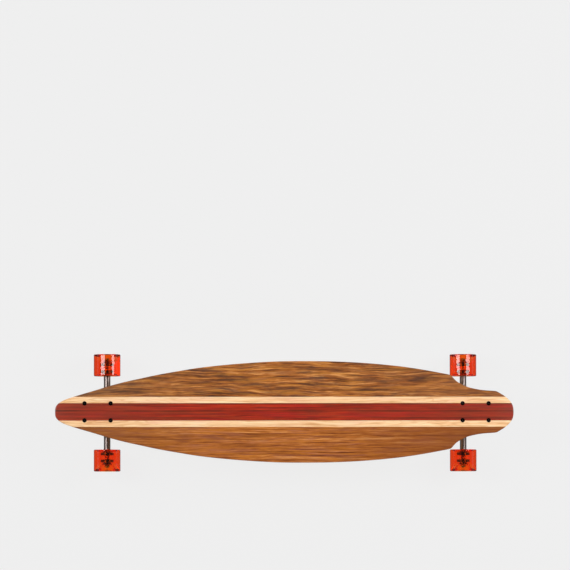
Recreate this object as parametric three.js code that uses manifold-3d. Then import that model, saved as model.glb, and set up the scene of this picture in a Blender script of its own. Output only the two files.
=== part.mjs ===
// Longboard skateboard: laminated wooden deck with
// inlaid length-wise stripes, top-mounted reverse-kingpin trucks, 65 mm wheels.
//
// Frame (millimetres): origin at the middle of the board's length and width, on
// the surface that the wheels stand on. +X towards the nose (the rounded end
// with the wheel cut-outs), +Y to the board's left, +Z up.
import * as THREE from 'three';
import { mergeVertices } from 'three/addons/utils/BufferGeometryUtils.js';
import Module from 'manifold-3d';

// ---------------------------------------------------------------- dimensions
const WHEEL_R = 32.5;           // 65 mm wheels
const WHEEL_W = 53;             // tread and lips, face to face
const WHEEL_Y = 116.5;          // middle of a wheel from the centreline
const WHEEL_SIDES = 28;
const AXLE_R = 4;               // 8 mm axle
const AXLE_HALF = 130;
const HANGER_HALF = 96;         // 192 mm hanger
const ARM_R = 8;
const BARREL_R = 10;
const BEARING_OD = 22, BEARING_W = 7, SPACER_L = 10;

const TRUCK_H = 73;             // axle centre to baseplate top
const RISER_T = 3;
const CORE_T = 9.5;
const FACE_T = 3;
const PLATE_T = 7;
const PLATE_L = 108, PLATE_W = 58;

const PLATE_TOP = WHEEL_R + TRUCK_H;        // 105.5
const DECK_BOTTOM = PLATE_TOP + RISER_T;    // 108.5
const CORE_TOP = DECK_BOTTOM + CORE_T;      // 118
const DECK_TOP = CORE_TOP + FACE_T;         // 121

const REAR_X = -455.6, FRONT_X = 465.9;     // bolt pattern centres
const BOLT_DX = 31.75, BOLT_DY = 20.65;     // 63.5 x 41.3 mm pattern
const BOLT_R = 2.38, BOLT_L = 31.75, BOLT_HEAD_R = 5.2, BOLT_HEAD_H = 2.7;
const BOLT_CLEAR_R = 2.9;
const NUT_AF = 9.5, NUT_H = 5.6;

const STRIPE_CENTER = 21.2;     // half width of the red centre stringer
const STRIPE_PALE = 36.7;       // outer edge of the pale strips

// Deck outline, half widths along X. The nose has square-shouldered cut-outs
// for the wheels; the tail narrows steadily to a blunt point.
const OUTLINE = [
  [-558.8, 0], [-558.2, 9.5], [-555.8, 15], [-551, 20.3], [-546, 24], [-536.3, 29],
  [-526.5, 32.7], [-509.4, 38.3], [-485, 45.6], [-460.7, 52.7], [-436, 60.3],
  [-412, 67.2], [-375.4, 76.2], [-351, 81.4], [-326.6, 86.8], [-302.3, 91.7],
  [-277.9, 96.1], [-253.5, 100.2], [-229.1, 104.4], [-204.8, 107.9], [-180.4, 110.8],
  [-156, 113.4], [-131.6, 115.7], [-107.3, 117.7], [-82.9, 119.5], [-58.5, 121.0],
  [-30, 122.5], [0, 123.4], [30, 123.7], [60, 123.7], [87.75, 123.5], [112, 123.1],
  [136.5, 122.3], [161, 121.2], [185.25, 119.8], [209.6, 118.05], [234, 116],
  [258.4, 113.6], [282.75, 110.9], [307, 107.6], [331.5, 103.8], [355.9, 99.6],
  [380.25, 95], [400, 91.1], [406, 89.2], [409.5, 85.5], [414.4, 79.7], [419.3, 75.0],
  [426, 70.6], [434, 66.4], [443.6, 61.8], [453.4, 58.7], [463, 56.5], [475, 54.2],
  [484, 53.0], [494, 52.1], [504, 51.5], [511, 51.0], [516.9, 50.2], [522.5, 47.4], [528, 44.1],
  [535, 39.8], [541, 35.3], [547, 29.8], [552, 24.1], [555.6, 18.2], [557.7, 12.0], [558.8, 0],
];

// Truck geometry in the truck's own frame: x outboard from the bolt pattern
// centre, z up from the baseplate top. The steering axis rises outboard at 50
// degrees from the pivot to the middle of the hanger's ring; the kingpin is
// square to it.
const STEER = 50 * Math.PI / 180;
const A = new THREE.Vector3(Math.cos(STEER), 0, Math.sin(STEER));
const K = new THREE.Vector3(Math.sin(STEER), 0, -Math.cos(STEER));
const AXLE = new THREE.Vector3(-24.45, 0, -TRUCK_H);
const PIVOT = new THREE.Vector3(-43.95, 0, -77.6);
const RING_T = 46;              // pivot to ring centre along the steering axis
const RING_HALF = 5;            // half thickness of the hanger ring
const RING_R = 17.5, RING_BORE = 8.5;
const SEAT = -20.3;             // baseplate seat face, along the kingpin
const KINGPIN_R = 4.76;

// ------------------------------------------------------------------- helpers
const wasm = await Module();
wasm.setup();

function solid(geometry) {
  const g = geometry.index ? geometry.clone() : geometry.clone();
  g.deleteAttribute('normal');
  g.deleteAttribute('uv');
  const m = mergeVertices(g, 1e-4);
  return new wasm.Manifold(new wasm.Mesh({
    numProp: 3,
    vertProperties: new Float32Array(m.attributes.position.array),
    triVerts: new Uint32Array(m.index.array),
  }));
}
function geometryOf(manifold) {
  const mesh = manifold.getMesh();
  const g = new THREE.BufferGeometry();
  const n = mesh.vertProperties.length / mesh.numProp;
  const p = new Float32Array(n * 3);
  for (let i = 0; i < n; i++) for (let c = 0; c < 3; c++) p[3 * i + c] = mesh.vertProperties[i * mesh.numProp + c];
  g.setAttribute('position', new THREE.BufferAttribute(p, 3));
  g.setIndex(new THREE.BufferAttribute(new Uint32Array(mesh.triVerts), 1));
  g.computeVertexNormals();
  return g;
}
function union(list) { return list.slice(1).reduce((s, g) => s.add(solid(g)), solid(list[0])); }
function cut(base, list) { return list.reduce((s, g) => s.subtract(solid(g)), base); }

// A matrix whose local axes are the given directions and origin.
function basis(x, y, z, o) {
  const m = new THREE.Matrix4().makeBasis(x, y, z);
  m.setPosition(o);
  return m;
}
const X1 = new THREE.Vector3(1, 0, 0), Y1 = new THREE.Vector3(0, 1, 0), Z1 = new THREE.Vector3(0, 0, 1);

// Lathe turned about local Y; profile points are [radius, along].
function turned(profile, sides, phase = 0) {
  return new THREE.LatheGeometry(profile.map(([r, h]) => new THREE.Vector2(r, h)), sides, phase);
}
function rod(r, from, to, sides = 16) {
  return turned([[0, from], [r, from], [r, to], [0, to]], sides);
}
function hexPrism(af, from, to) {
  return turned([[0, from], [af / Math.sqrt(3), from], [af / Math.sqrt(3), to], [0, to]], 6);
}
// Turn a lathe (about local Y) so that it lies along a direction, at a point.
function along(geometry, dir, at) {
  const q = new THREE.Quaternion().setFromUnitVectors(Y1, dir.clone().normalize());
  geometry.applyMatrix4(new THREE.Matrix4().compose(at.clone(), q, new THREE.Vector3(1, 1, 1)));
  return geometry;
}
function shapeOf(points) {
  const s = new THREE.Shape();
  points.forEach(([x, y], i) => (i ? s.lineTo(x, y) : s.moveTo(x, y)));
  s.closePath();
  return s;
}
function extrude(points, from, to, holes = []) {
  const s = shapeOf(points);
  for (const h of holes) s.holes.push(new THREE.Path(h.map(([x, y]) => new THREE.Vector2(x, y))));
  const g = new THREE.ExtrudeGeometry(s, { depth: to - from, bevelEnabled: false, steps: 1 });
  g.translate(0, 0, from);
  return g;
}
// A profile drawn in the truck's side view (x, z), as wide as +-halfWidth in Y.
function sideProfile(points, halfWidth) {
  const g = extrude(points, -halfWidth, halfWidth);
  // drawn x -> x, drawn y -> z, extrusion -> -y
  g.applyMatrix4(basis(X1, Z1, new THREE.Vector3(0, -1, 0), new THREE.Vector3()));
  return g;
}
// A point from distances along the steering axis (t) and the kingpin (s).
function at(t, s, y = 0) {
  return PIVOT.clone().addScaledVector(A, t).addScaledVector(K, s).add(new THREE.Vector3(0, y, 0));
}
const xz = (t, s) => { const p = at(t, s); return [p.x, p.z]; };
function roundedRect(l, w, r, n = 4) {
  const pts = [];
  for (const [cx, cy, a0] of [[l / 2 - r, w / 2 - r, 0], [-l / 2 + r, w / 2 - r, 90], [-l / 2 + r, -w / 2 + r, 180], [l / 2 - r, -w / 2 + r, 270]]) {
    for (let i = 0; i <= n; i++) {
      const a = (a0 + 90 * i / n) * Math.PI / 180;
      pts.push([cx + r * Math.cos(a), cy + r * Math.sin(a)]);
    }
  }
  return pts;
}
function circle(x, y, r, n = 12) {
  return Array.from({ length: n }, (_, i) => {
    const a = -2 * Math.PI * (i + 0.5) / n;
    return [x + r * Math.cos(a), y + r * Math.sin(a)];
  });
}

// ----------------------------------------------------------------- materials
const mat = (color, roughness, metalness = 0, extra = {}) => () => new THREE.MeshStandardMaterial({ color, roughness, metalness, ...extra });
const M = {
  core: mat(0xd9b27c, 0.5),
  walnut: mat(0x9b5f34, 0.35),
  maple: mat(0xfacda0, 0.35),
  padauk: mat(0x9b311e, 0.35),
  black: mat(0x161412, 0.4, 0.6),
  zinc: mat(0xb9bcc0, 0.35, 0.9),
  cast: mat(0xb9a9a6, 0.3, 0.9),
  steel: mat(0xc4c6c9, 0.25, 1),
  rubber: mat(0x1a1a1a, 0.8),
  plastic: mat(0x151515, 0.5),
  bushing: mat(0xd9461a, 0.4),
  wheel: mat(0xe0520e, 0.25),
};

const group = new THREE.Group();
function add(name, geometry, material, parent = group) {
  geometry.deleteAttribute('uv');
  const mesh = new THREE.Mesh(geometry, material());
  mesh.name = name;
  parent.add(mesh);
  return mesh;
}

// ---------------------------------------------------------------------- deck
const upper = OUTLINE;
const lower = OUTLINE.slice(1, -1).reverse().map(([x, w]) => [x, -w]);
const outline = [...upper, ...lower].reverse();   // counter-clockwise

const boltSpots = [];
for (const [end, cx] of [['rear', REAR_X], ['front', FRONT_X]])
  for (const [ix, dx] of [['inner', end === 'rear' ? BOLT_DX : -BOLT_DX], ['outer', end === 'rear' ? -BOLT_DX : BOLT_DX]])
    for (const [side, dy] of [['left', BOLT_DY], ['right', -BOLT_DY]])
      boltSpots.push({ name: `${end}_${ix}_${side}`, x: cx + dx, y: dy });

const core = extrude(outline, DECK_BOTTOM, CORE_TOP, boltSpots.map(b => circle(b.x, b.y, BOLT_CLEAR_R)));
add('deck_core', core, M.core);

const face = solid(extrude(outline, CORE_TOP, DECK_TOP));
function strip(y0, y1) {
  const g = 0.02;                 // glue line between neighbouring strips
  const box = new THREE.BoxGeometry(1300, y1 - y0 - 2 * g, 20);
  box.translate(0, (y0 + y1) / 2, CORE_TOP + 5);
  let s = face.intersect(solid(box));
  for (const b of boltSpots) {
    if (b.y + BOLT_HEAD_R + 1 < y0 || b.y - BOLT_HEAD_R - 1 > y1) continue;
    const hole = turned([[0, -1], [BOLT_CLEAR_R, -1], [BOLT_CLEAR_R, 0.2], [BOLT_HEAD_R + 0.35, FACE_T - 0.3], [BOLT_HEAD_R + 0.35, FACE_T + 1], [0, FACE_T + 1]], 12);
    hole.applyMatrix4(basis(X1, Z1, new THREE.Vector3(0, -1, 0), new THREE.Vector3(b.x, b.y, CORE_TOP)));
    s = s.subtract(solid(hole));
  }
  return geometryOf(s);
}
add('deck_center_stringer', strip(-STRIPE_CENTER, STRIPE_CENTER), M.padauk);
add('deck_pale_strip_left', strip(STRIPE_CENTER, STRIPE_PALE), M.maple);
add('deck_pale_strip_right', strip(-STRIPE_PALE, -STRIPE_CENTER), M.maple);
add('deck_side_panel_left', strip(STRIPE_PALE, 200), M.walnut);
add('deck_side_panel_right', strip(-200, -STRIPE_PALE), M.walnut);

// ---------------------------------------------------- deck bolts and lock nuts
const upAt = (x, y, z) => basis(X1, Z1, new THREE.Vector3(0, -1, 0), new THREE.Vector3(x, y, z));
for (const b of boltSpots) {
  const top = DECK_TOP, h = BOLT_HEAD_H;
  const bolt = turned([[0, top - BOLT_L], [BOLT_R, top - BOLT_L], [BOLT_R, top - h], [BOLT_HEAD_R, top - 0.5], [BOLT_HEAD_R, top - 0.1], [0, top - 0.1]], 12);
  bolt.applyMatrix4(upAt(b.x, b.y, 0));
  add(`bolt_${b.name}`, bolt, M.black);

  const nutTop = PLATE_TOP - PLATE_T;
  const nut = turned([[BOLT_R + 0.07, nutTop - NUT_H], [NUT_AF / Math.sqrt(3), nutTop - NUT_H], [NUT_AF / Math.sqrt(3), nutTop], [BOLT_R + 0.17, nutTop], [BOLT_R + 0.07, nutTop - NUT_H]], 6, Math.PI / 6);
  // the bore is hexagonal too, so it is opened up to clear the thread
  const bore = rod(BOLT_R + 0.15, nutTop - NUT_H - 1, nutTop + 1, 12);
  const hex = hexPrism(NUT_AF, nutTop - NUT_H, nutTop);
  const n = geometryOf(solid(hex).subtract(solid(bore)));
  n.applyMatrix4(upAt(b.x, b.y, 0));
  add(`locknut_${b.name}`, n, M.zinc);
}

// -------------------------------------------------------------------- trucks
function stackHoles(r) { return [[1, 1], [1, -1], [-1, 1], [-1, -1]].map(([i, j]) => circle(i * BOLT_DX, j * BOLT_DY, r)); }

function truck(end, cx, spin) {
  const g = new THREE.Group();
  g.position.set(cx, 0, PLATE_TOP);
  g.rotation.z = spin;
  group.add(g);
  const put = (name, geometry, material) => add(`${end}_${name}`, geometry, material, g);

  put('riser', extrude(roundedRect(PLATE_L + 2, PLATE_W + 2, 8, 3), 0, RISER_T, stackHoles(BOLT_CLEAR_R)), M.rubber);

  // --- baseplate: mounting plate, kingpin ramp and pivot tower in one casting
  const W = 14.4;
  const ramp = sideProfile([
    [4, -PLATE_T + 1], [-4, -PLATE_T], xz(RING_T + 18, SEAT), xz(RING_T - 17.5, SEAT), xz(RING_T - 20, -14.5),
    xz(2, -14.5), xz(2, 12.2), xz(-5, 12.2), xz(-11.5, 5), xz(-11.5, -8), [-61, -66], [-57, -34], [-53.5, -PLATE_T], [-53.5, -PLATE_T + 1],
  ].reverse(), W);
  let base = solid(extrude(roundedRect(PLATE_L, PLATE_W, 10, 4), -PLATE_T, 0, stackHoles(BOLT_CLEAR_R))).add(solid(ramp));
  // stiffening rails each side of the ramp
  for (const sgn of [1, -1]) {
    const rail = sideProfile([[30, -PLATE_T + 1], [22, -PLATE_T - 3], [-4, -PLATE_T - 3], [-4, -PLATE_T + 1]].reverse(), 3);
    rail.translate(0, sgn * 9, 0);
    base = base.add(solid(rail));
  }
  base = cut(base, [
    along(rod(KINGPIN_R + 0.4, SEAT - 40, SEAT + 5), K, at(RING_T, 0)),
    along(rod(9.6, -90, -34), K, at(RING_T, 0)),
    along(rod(9.8, -8.3, 6, 20), A, at(0, 0)),
  ]);
  put('baseplate', geometryOf(base), M.cast);

  // --- pivot cup: a thimble round the hanger's pivot pin
  put('pivot_cup', along(turned([[0, -8], [9.5, -8], [9.5, 2], [7.2, 2], [7.2, -6], [0, -6]], 20), A, at(0, 0)), M.plastic);

  // --- kingpin, with its head in the ramp's rear pocket
  put('kingpin', along(turned([[0, -41.5], [8.6, -41.5], [8.6, -34.3], [KINGPIN_R, -34.3], [KINGPIN_R, 31.5], [0, 31.5]], 16), K, at(RING_T, 0)), M.steel);
  const knut = solid(hexPrism(14.3, 21.1, 29)).subtract(solid(rod(KINGPIN_R + 0.15, 15, 35)));
  put('kingpin_nut', along(geometryOf(knut), K, at(RING_T, 0)), M.zinc);

  // --- bushings with a cup washer at each outer end
  const cupWasher = (from, to, dir) => {
    const lip = dir > 0 ? [[14, from], [14, to - 0.0]] : [[14, from], [14, to]];
    return turned([[5.2, from], ...lip, [5.2, to], [5.2, from]], 20);
  };
  put('bushing_washer_boardside', along(cupWasher(SEAT + 0.3, SEAT + 2.1, 1), K, at(RING_T, 0)), M.zinc);
  put('bushing_boardside', along(turned([[5.2, SEAT + 2.4], [12.6, SEAT + 2.4], [13.6, -11.5], [12.6, -RING_HALF - 0.3], [5.2, -RING_HALF - 0.3], [5.2, SEAT + 2.4]], 20), K, at(RING_T, 0)), M.bushing);
  put('bushing_roadside', along(turned([[5.2, RING_HALF + 0.3], [13, RING_HALF + 0.3], [11.5, 18.2], [5.2, 18.2], [5.2, RING_HALF + 0.3]], 20), K, at(RING_T, 0)), M.bushing);
  put('bushing_washer_roadside', along(cupWasher(18.5, 20.8, -1), K, at(RING_T, 0)), M.zinc);

  // --- hanger: ring, web, barrel, tapered arms and pivot pin in one casting
  const AX = [16.06, 11.98];   // axle in (t, s)
  const webPlan = [[RING_T + 6, 16.3], [RING_T, 17.3], [RING_T - 14, 19], [27, 26], [21, 40], [19, 58], [12, 58], [10, 30], [6, 12], [6, -12], [10, -30], [12, -58], [19, -58], [21, -40], [27, -26], [RING_T - 14, -19], [RING_T, -17.3], [RING_T + 6, -16.3]];
  const web = extrude(webPlan, -RING_HALF, RING_HALF);
  web.applyMatrix4(basis(A, Y1, A.clone().cross(Y1), at(0, 0)));   // t, y, and the third axis
  const yoke = sideProfile([xz(6.5, -4), xz(25, -4), xz(27, 4), xz(24, 14), xz(16, 20), xz(8, 17), xz(6.2, 6)].reverse(), 20);
  const arms = along(turned([[0, -HANGER_HALF], [9.6, -HANGER_HALF], [9.6, -HANGER_HALF + 3], [ARM_R, -HANGER_HALF + 6], [ARM_R, -58], [BARREL_R, -26], [BARREL_R, 26], [ARM_R, 58], [ARM_R, HANGER_HALF - 6], [9.6, HANGER_HALF - 3], [9.6, HANGER_HALF], [0, HANGER_HALF]], 16), Y1, AXLE);
  const ring = along(rod(RING_R, -RING_HALF, RING_HALF, 24), K, at(RING_T, 0));
  const pin = along(turned([[0, -5.2], [4.2, -5.2], [6.5, -3], [6.5, 9], [0, 9]], 20), A, at(0, 0));
  let hanger = union([web, yoke, arms, ring, pin]);
  hanger = cut(hanger, [
    along(rod(RING_BORE, -20, 20, 20), K, at(RING_T, 0)),
    along(rod(AXLE_R + 0.1, -150, 150, 16), Y1, AXLE),
  ]);
  put('hanger', geometryOf(hanger), M.cast);

  put('axle', along(turned([[0, -AXLE_HALF], [3.4, -AXLE_HALF], [AXLE_R, -AXLE_HALF + 0.8], [AXLE_R, AXLE_HALF - 0.8], [3.4, AXLE_HALF], [0, AXLE_HALF]], 16), Y1, AXLE), M.steel);

  for (const [side, sgn] of [['left', 1], ['right', -1]]) {
    const local = spin ? -sgn : sgn;          // the rear truck is turned end for end
    const dir = new THREE.Vector3(0, local, 0);
    const yIn = WHEEL_Y - WHEEL_W / 2;        // inner face of the wheel
    const b0 = HANGER_HALF + 1.2;             // inner bearing, after a 1 mm washer
    const b1 = b0 + BEARING_W + SPACER_L;
    const c = WHEEL_SIDES, rr = WHEEL_R / Math.cos(Math.PI / c);
    const yOut = yIn + WHEEL_W;
    const wheel = turned([
      [8.4, b0 + BEARING_W], [8.4, b1], [11.15, b1], [11.15, b1 + BEARING_W + 0.4], [24.5, yOut], [31.0, yOut], [rr, yOut - 1.7],
      [rr, yIn + 1.7], [31.0, yIn], [21, yIn], [11.15, b0 - 0.2], [11.15, b0 + BEARING_W], [8.4, b0 + BEARING_W],
    ].reverse(), c, Math.PI / c);
    // a flat facet of the tread is at the bottom
    put(`wheel_${side}`, along(wheel.clone(), dir, AXLE), M.wheel);
    for (const [which, y0] of [['inner', b0], ['outer', b1]]) {
      const r0 = 4.07, r1 = BEARING_OD / 2;
      const ring2 = turned([[r0, y0], [r1, y0], [r1, y0 + BEARING_W], [r0, y0 + BEARING_W], [r0, y0]], 24);
      put(`bearing_${side}_${which}`, along(ring2, dir, AXLE), M.zinc);
    }
    const n0 = b1 + BEARING_W + 1;
    const an = solid(hexPrism(13, n0, n0 + 6.5)).subtract(solid(rod(AXLE_R + 0.1, n0 - 2, n0 + 10)));
    put(`axle_nut_${side}`, along(geometryOf(an), dir, AXLE), M.zinc);
  }
}
truck('front', FRONT_X, 0);
truck('rear', REAR_X, Math.PI);

export default group;
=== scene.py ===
import math
import bpy, bmesh
from mathutils import Matrix, Vector, Quaternion


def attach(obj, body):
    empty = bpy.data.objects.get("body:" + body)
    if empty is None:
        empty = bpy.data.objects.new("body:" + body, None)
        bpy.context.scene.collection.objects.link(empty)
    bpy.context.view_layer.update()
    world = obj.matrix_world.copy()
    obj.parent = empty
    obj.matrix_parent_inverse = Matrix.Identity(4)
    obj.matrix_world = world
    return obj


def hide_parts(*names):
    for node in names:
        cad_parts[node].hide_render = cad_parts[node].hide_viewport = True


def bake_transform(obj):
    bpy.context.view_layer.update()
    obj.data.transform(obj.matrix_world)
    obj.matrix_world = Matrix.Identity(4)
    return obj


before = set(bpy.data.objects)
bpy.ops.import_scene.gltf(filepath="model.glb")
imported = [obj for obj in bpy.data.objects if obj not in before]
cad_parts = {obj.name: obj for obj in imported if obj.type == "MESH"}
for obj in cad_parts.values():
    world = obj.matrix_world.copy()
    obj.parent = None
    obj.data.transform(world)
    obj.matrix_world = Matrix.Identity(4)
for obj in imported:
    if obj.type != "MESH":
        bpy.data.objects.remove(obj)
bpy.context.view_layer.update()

SC = bpy.context.scene
MM = 0.001
PI = math.pi

# ------------------------------------------------------------------ dimensions (mm), as in the CAD
WHEEL_R, WHEEL_W, WHEEL_Y = 32.5, 53.0, 116.5
AXLE_R, AXLE_HALF, HANGER_HALF, ARM_R, BARREL_R = 4.0, 130.0, 96.0, 8.0, 10.0
BEARING_W, SPACER_L = 7.0, 10.0
TRUCK_H, RISER_T, CORE_T, FACE_T, PLATE_T = 73.0, 3.0, 9.5, 3.0, 7.0
PLATE_L, PLATE_W = 108.0, 58.0
PLATE_TOP = WHEEL_R + TRUCK_H
DECK_BOTTOM = PLATE_TOP + RISER_T
CORE_TOP = DECK_BOTTOM + CORE_T
DECK_TOP = CORE_TOP + FACE_T
REAR_X, FRONT_X = -455.6, 465.9
BOLT_DX, BOLT_DY = 31.75, 20.65
STRIPE_CENTER, STRIPE_PALE = 21.2, 36.7

OUTLINE = [
  [-558.8, 0], [-558.2, 9.5], [-555.8, 15], [-551, 20.3], [-546, 24], [-536.3, 29],
  [-526.5, 32.7], [-509.4, 38.3], [-485, 45.6], [-460.7, 52.7], [-436, 60.3],
  [-412, 67.2], [-375.4, 76.2], [-351, 81.4], [-326.6, 86.8], [-302.3, 91.7],
  [-277.9, 96.1], [-253.5, 100.2], [-229.1, 104.4], [-204.8, 107.9], [-180.4, 110.8],
  [-156, 113.4], [-131.6, 115.7], [-107.3, 117.7], [-82.9, 119.5], [-58.5, 121.0],
  [-30, 122.5], [0, 123.4], [30, 123.7], [60, 123.7], [87.75, 123.5], [112, 123.1],
  [136.5, 122.3], [161, 121.2], [185.25, 119.8], [209.6, 118.05], [234, 116],
  [258.4, 113.6], [282.75, 110.9], [307, 107.6], [331.5, 103.8], [355.9, 99.6],
  [380.25, 95], [400, 91.1], [406, 89.2], [409.5, 85.5], [414.4, 79.7], [419.3, 75.0],
  [426, 70.6], [434, 66.4], [443.6, 61.8], [453.4, 58.7], [463, 56.5], [475, 54.2],
  [484, 53.0], [494, 52.1], [504, 51.5], [511, 51.0], [516.9, 50.2], [522.5, 47.4], [528, 44.1],
  [535, 39.8], [541, 35.3], [547, 29.8], [552, 24.1], [555.6, 18.2], [557.7, 12.0], [558.8, 0],
]

A50 = math.radians(50)
AX = Vector((math.cos(A50), 0, math.sin(A50)))      # steering axis, truck's own frame
KX = Vector((math.sin(A50), 0, -math.cos(A50)))     # kingpin, head to nut
AXLE = Vector((-24.45, 0, -TRUCK_H))
PIVOT = Vector((-43.95, 0, -77.6))
RING_T, RING_HALF, RING_R, RING_BORE, SEAT = 46.0, 5.0, 17.5, 8.5, -20.3
KINGPIN_R = 4.76

# ------------------------------------------------------------------ mesh helpers
def new_obj(name, verts, faces, mats=(), smooth=35.0, scale=MM, matrix=None):
    me = bpy.data.meshes.new(name)
    me.from_pydata([tuple(v) for v in verts], [], faces)
    if matrix is not None:
        me.transform(matrix)
    if scale != 1:
        me.transform(Matrix.Scale(scale, 4))
    me.validate()
    o = bpy.data.objects.new(name, me)
    SC.collection.objects.link(o)
    for m in mats:
        me.materials.append(m)
    fix_normals(o)
    if smooth is not None:
        shade(o, smooth)
    return o


def fix_normals(o):
    bm = bmesh.new(); bm.from_mesh(o.data)
    bmesh.ops.recalc_face_normals(bm, faces=bm.faces[:])
    bm.to_mesh(o.data); bm.free()


def shade(o, angle=35.0):
    o.data.shade_smooth()
    o.data.set_sharp_from_angle(angle=math.radians(angle))


def fillet(points, closed=False, n=5):
    """Rounds the corners of a polyline of (x, y[, radius])."""
    out = []
    cnt = len(points)
    for i, p in enumerate(points):
        r = p[2] if len(p) > 2 else 0
        if r <= 0 or (not closed and i in (0, cnt - 1)):
            out.append((p[0], p[1])); continue
        a, b, c = Vector(points[i - 1][:2]), Vector(p[:2]), Vector(points[(i + 1) % cnt][:2])
        u, v = (a - b), (c - b)
        lu, lv = u.length, v.length
        if lu < 1e-9 or lv < 1e-9:
            out.append((p[0], p[1])); continue
        u.normalize(); v.normalize()
        ang = u.angle(v)
        if ang > PI - 1e-3:
            out.append((p[0], p[1])); continue
        d = min(r / math.tan(ang / 2), lu * 0.49, lv * 0.49)
        rr = d * math.tan(ang / 2)
        p0, p1 = b + u * d, b + v * d
        centre = b + (u + v).normalized() * (rr / math.sin(ang / 2))
        a0 = math.atan2(*(p0 - centre).yx); a1 = math.atan2(*(p1 - centre).yx)
        da = (a1 - a0 + PI) % (2 * PI) - PI
        for k in range(n + 1):
            t = a0 + da * k / n
            out.append((centre.x + rr * math.cos(t), centre.y + rr * math.sin(t)))
    return out


def lathe(profile, n=64, closed=False):
    """Verts and faces of a profile of (radius, along) turned about Z."""
    verts, faces, rings = [], [], []
    for r, h in profile:
        if r < 1e-6:
            rings.append([len(verts)]); verts.append((0, 0, h))
        else:
            rings.append(list(range(len(verts), len(verts) + n)))
            verts += [(r * math.cos(2 * PI * k / n), r * math.sin(2 * PI * k / n), h) for k in range(n)]
    pairs = list(zip(rings, rings[1:])) + ([(rings[-1], rings[0])] if closed else [])
    for a, b in pairs:
        for k in range(n):
            k2 = (k + 1) % n
            if len(a) == 1 and len(b) == 1:
                continue
            if len(a) == 1:
                faces.append((a[0], b[k2], b[k]))
            elif len(b) == 1:
                faces.append((a[k], a[k2], b[0]))
            else:
                faces.append((a[k], a[k2], b[k2], b[k]))
    return verts, faces


def along(direction, at):
    """A matrix that lays local Z along a direction, at a point."""
    d = Vector(direction).normalized()
    q = Vector((0, 0, 1)).rotation_difference(d)
    return Matrix.Translation(Vector(at)) @ q.to_matrix().to_4x4()


def turned(name, profile, direction, at, mats, n=64, closed=False, smooth=35.0, matrix=None):
    v, f = lathe(profile, n, closed)
    m = along(direction, at)
    return new_obj(name, v, f, mats, smooth, matrix=(matrix @ m if matrix else m))


def offset_loop(pts, d):
    """Closed counter-clockwise loop moved inwards by d."""
    out, n = [], len(pts)
    for i in range(n):
        a, b, c = Vector(pts[i - 1]), Vector(pts[i]), Vector(pts[(i + 1) % n])
        e1, e2 = (b - a), (c - b)
        if e1.length < 1e-9: e1 = e2
        if e2.length < 1e-9: e2 = e1
        n1 = Vector((-e1.y, e1.x)).normalized(); n2 = Vector((-e2.y, e2.x)).normalized()
        nn = n1 + n2
        if nn.length < 1e-6: nn = n1
        nn.normalize()
        k = max(0.5, nn.dot(n1))
        out.append(tuple(b + nn * (d / k)))
    return out


def ccw(pts):
    s = sum(pts[i - 1][0] * pts[i][1] - pts[i][0] * pts[i - 1][1] for i in range(len(pts)))
    return list(pts) if s > 0 else list(reversed(pts))


def slab(name, outline, z0, z1, mats, bottom=0.0, top=0.0, steps=4, smooth=35.0, matrix=None):
    """A plate of a closed outline with rounded edges at its bottom and top."""
    pts = ccw(outline)
    loops = []
    if bottom > 0:
        for k in range(steps + 1):
            a = PI / 2 * k / steps
            loops.append((offset_loop(pts, bottom * (1 - math.sin(a))), z0 + bottom * (1 - math.cos(a))))
    else:
        loops.append((pts, z0))
    if top > 0:
        for k in range(steps + 1):
            a = PI / 2 * k / steps
            loops.append((offset_loop(pts, top * (1 - math.cos(a))), z1 - top * (1 - math.sin(a))))
    else:
        loops.append((pts, z1))
    verts, faces, n = [], [], len(pts)
    for lp, z in loops:
        verts += [(x, y, z) for x, y in lp]
    for i in range(len(loops) - 1):
        for k in range(n):
            a, b = i * n + k, i * n + (k + 1) % n
            faces.append((a, b, b + n, a + n))
    faces.append(tuple(reversed(range(n))))
    faces.append(tuple(range((len(loops) - 1) * n, len(loops) * n)))
    return new_obj(name, verts, faces, mats, smooth, matrix=matrix)


def side_slab(name, profile, half, mats, bevel=0.0, matrix=None, smooth=35.0):
    """A plate of a side-view (x, z) outline, from y = -half to +half."""
    m = Matrix(((1, 0, 0, 0), (0, 0, -1, 0), (0, 1, 0, 0), (0, 0, 0, 1)))
    return slab(name, profile, -half, half, mats, bevel, bevel, matrix=(matrix @ m if matrix else m), smooth=smooth)


def apply_mods(o):
    dg = bpy.context.evaluated_depsgraph_get()
    me = bpy.data.meshes.new_from_object(o.evaluated_get(dg), preserve_all_data_layers=True, depsgraph=dg)
    o.modifiers.clear()
    old = o.data
    o.data = me
    if old.users == 0:
        bpy.data.meshes.remove(old)


def boolean(o, cutter, op="DIFFERENCE", solver="EXACT", drop=True):
    # a small cut must leave most of a dense casting; if the solver loses it, the cutter is nudged a hundredth of a millimetre and cut again
    keep = o.data.copy() if op == "DIFFERENCE" and len(o.data.vertices) > 3000 else None
    for nudge in ((0, 0, 0), (0.011, 0.007, 0.013), (-0.017, 0.012, 0.009), (0.008, -0.019, -0.014), (0.021, 0.016, -0.023)):
        cutter.data.transform(Matrix.Translation(Vector(nudge) * MM))
        m = o.modifiers.new("b", "BOOLEAN")
        m.operation, m.solver, m.object = op, solver, cutter
        apply_mods(o)
        if keep is None or len(o.data.vertices) > 0.6 * len(keep.vertices):
            break
        old = o.data
        o.data = keep.copy()
        bpy.data.meshes.remove(old)
    if keep is not None:
        bpy.data.meshes.remove(keep)
    if drop:
        bpy.data.objects.remove(cutter, do_unlink=True)


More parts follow.
